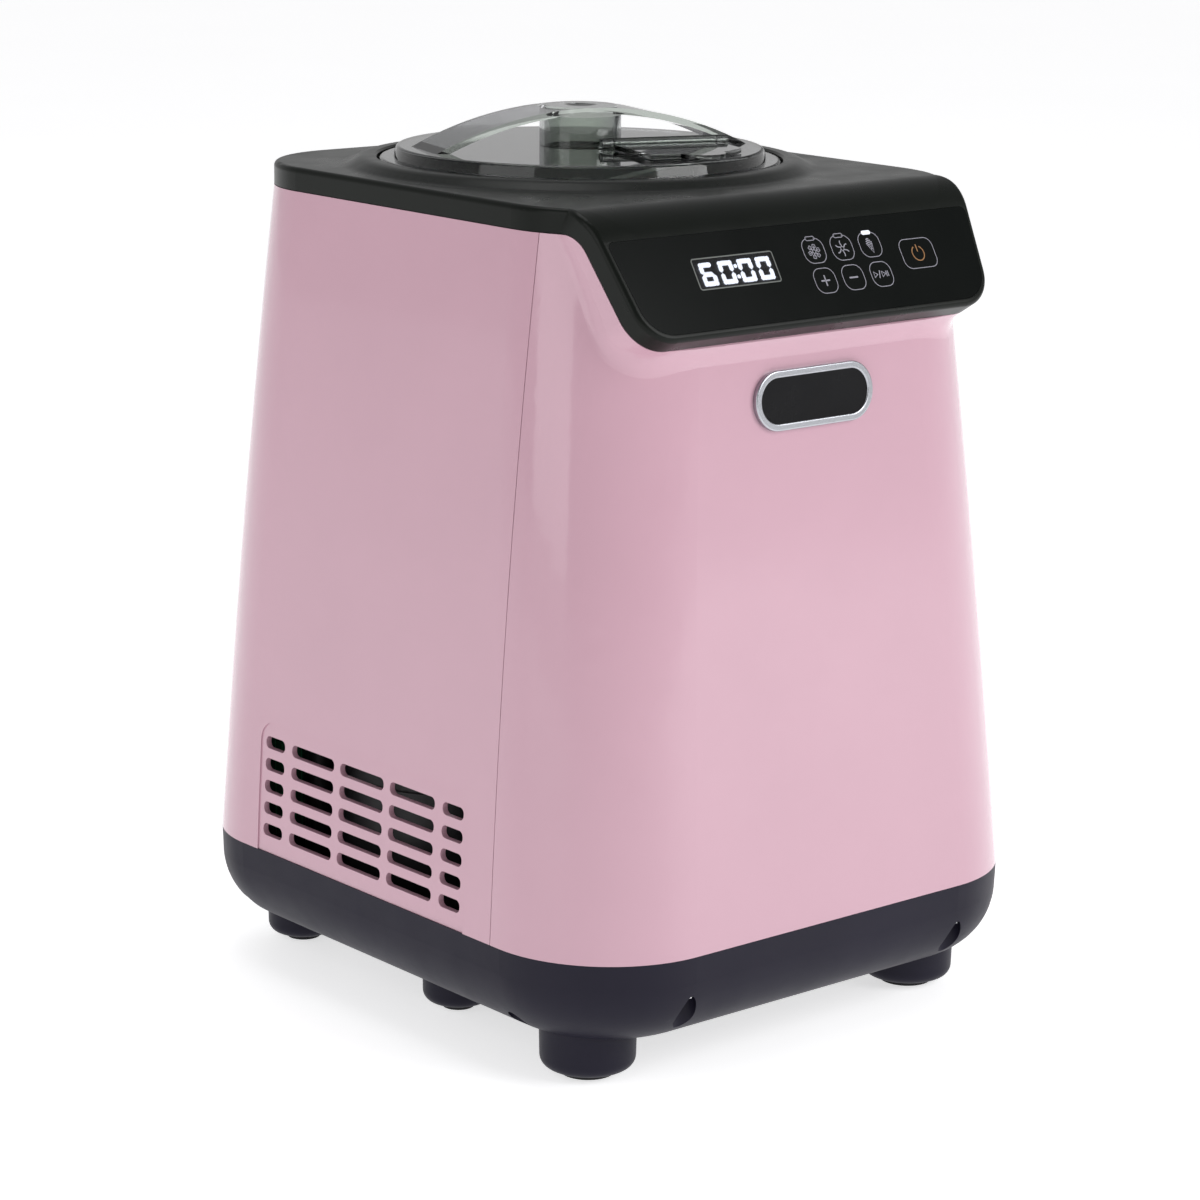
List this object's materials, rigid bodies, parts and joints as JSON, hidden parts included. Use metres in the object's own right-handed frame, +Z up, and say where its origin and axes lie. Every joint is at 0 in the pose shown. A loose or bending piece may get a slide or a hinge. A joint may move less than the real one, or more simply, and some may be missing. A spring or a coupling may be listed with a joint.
{
  "type": "ice cream maker",
  "caption": "Upright countertop ice cream maker with a built-in compressor, sloping touch console and a clear lid with an arched handle and ingredient flap.",
  "frame": {"origin": "on the floor under the middle of the case", "axes": "+X to the machine's right as it faces you, -Y to its front, +Z up"},
  "size_m": [0.2316, 0.2556, 0.3359],
  "materials": {
    "pink_plastic": "gloss",
    "black_plastic": "satin",
    "panel_gloss": "gloss",
    "base_plastic": "matte",
    "dark_rubber": "matte",
    "seal_silicone": "matte",
    "steel": "satin",
    "display_glass": "clear tinted",
    "display_white": "lit",
    "black_part": "matte",
    "circuit_board": "satin",
    "badge_metal": "satin",
    "clear_smoke": "clear tinted",
    "paddle_plastic": "satin",
    "pot_aluminium": "satin",
    "copper": "satin",
    "foam": "matte",
    "gear_plastic": "satin",
    "bearing_bronze": "satin",
    "black_metal": "satin"
  },
  "bodies": {
    "case": {"base_tray": "base_plastic", "feet": "base_plastic", "foot_pads": "dark_rubber", "base_screws": "steel", "front_panel": "pink_plastic", "left_side_panel": "pink_plastic", "right_side_panel": "pink_plastic", "rear_panel": "pink_plastic", "rear_screws": "steel", "cord_gland": "black_plastic", "top_cover": "black_plastic", "control_panel": "panel_gloss", "display_window": "display_glass", "display_digits": "display_white", "display_module": "black_part", "control_board": "circuit_board", "touch_springs": "steel", "badge_rim": "badge_metal", "badge_plate": "black_plastic", "cooling_pot": "pot_aluminium", "shaft_seal": "dark_rubber", "well_gasket": "dark_rubber", "evaporator_coil": "copper", "insulation": "foam", "idler_axle": "steel", "mixing_motor": "steel", "gearbox_housing": "gear_plastic", "lower_bearing": "bearing_bronze", "gearbox_cover": "gear_plastic", "gearbox_screws": "steel", "upper_bearing": "bearing_bronze", "deck_plate": "steel", "deck_posts": "black_part", "compressor": "black_metal", "compressor_plate": "steel", "compressor_grommets": "dark_rubber", "compressor_bolts": "steel", "condenser": "pot_aluminium", "fan_motor": "steel", "fan_shroud": "black_part", "fan_bracket": "black_part", "filter_drier": "copper", "discharge_pipe": "copper", "liquid_pipe": "copper", "capillary_tube": "copper", "suction_pipe": "copper", "power_board": "circuit_board"},
    "bowl": {"ice_cream_bowl": "steel"},
    "seal": {"lid_seal": "seal_silicone"},
    "cover": {"lid": "clear_smoke", "flap_pin": "steel"},
    "flap": {"ingredient_flap": "clear_smoke"},
    "paddle": {"mixing_paddle": "paddle_plastic"},
    "shaft": {"drive_shaft": "steel", "output_gear": "gear_plastic"},
    "idler": {"idler_gear": "gear_plastic"},
    "rotor": {"motor_pinion": "gear_plastic"},
    "fan": {"fan_blade": "black_part"}
  },
  "joints": [
    {"name": "bowl_lift", "type": "slide", "parent": "case", "child": "bowl", "axis": [0, 0, 1], "range_m": [0, 0.13]},
    {"name": "lid_lift", "type": "slide", "parent": "bowl", "child": "seal", "axis": [0, 0, 1], "range_m": [0, 0.06]},
    {"name": "lid_turn", "type": "hinge", "parent": "seal", "child": "cover", "pos_m": [0, 0.0209, 0.31], "axis": [0, 0, 1], "range_deg": [0, 25]},
    {"name": "flap_open", "type": "hinge", "parent": "cover", "child": "flap", "pos_m": [-0.0057, 0.00225, 0.323], "axis": [-0.9563, 0.2924, 0], "range_deg": [0, 95]},
    {"name": "shaft_spin", "type": "hinge", "parent": "case", "child": "shaft", "pos_m": [0, 0.0209, 0.15], "axis": [0, 0, 1], "continuous": true},
    {"name": "paddle_spin", "type": "hinge", "parent": "bowl", "child": "paddle", "pos_m": [0, 0.0209, 0.25], "axis": [0, 0, 1], "continuous": true},
    {"name": "idler_spin", "type": "hinge", "parent": "case", "child": "idler", "pos_m": [0.02605, -0.00608, 0.14], "axis": [0, 0, 1], "continuous": true},
    {"name": "rotor_spin", "type": "hinge", "parent": "case", "child": "rotor", "pos_m": [0.0023, -0.026, 0.14], "axis": [0, 0, 1], "continuous": true},
    {"name": "fan_spin", "type": "hinge", "parent": "case", "child": "fan", "pos_m": [0.062, 0.026, 0.076], "axis": [1, 0, 0], "continuous": true}
  ],
  "couplings": [
    {"joint": "paddle_spin", "follows": "shaft_spin", "ratio": 1},
    {"joint": "idler_spin", "follows": "shaft_spin", "ratio": -4},
    {"joint": "rotor_spin", "follows": "shaft_spin", "ratio": 16.667}
  ]
}
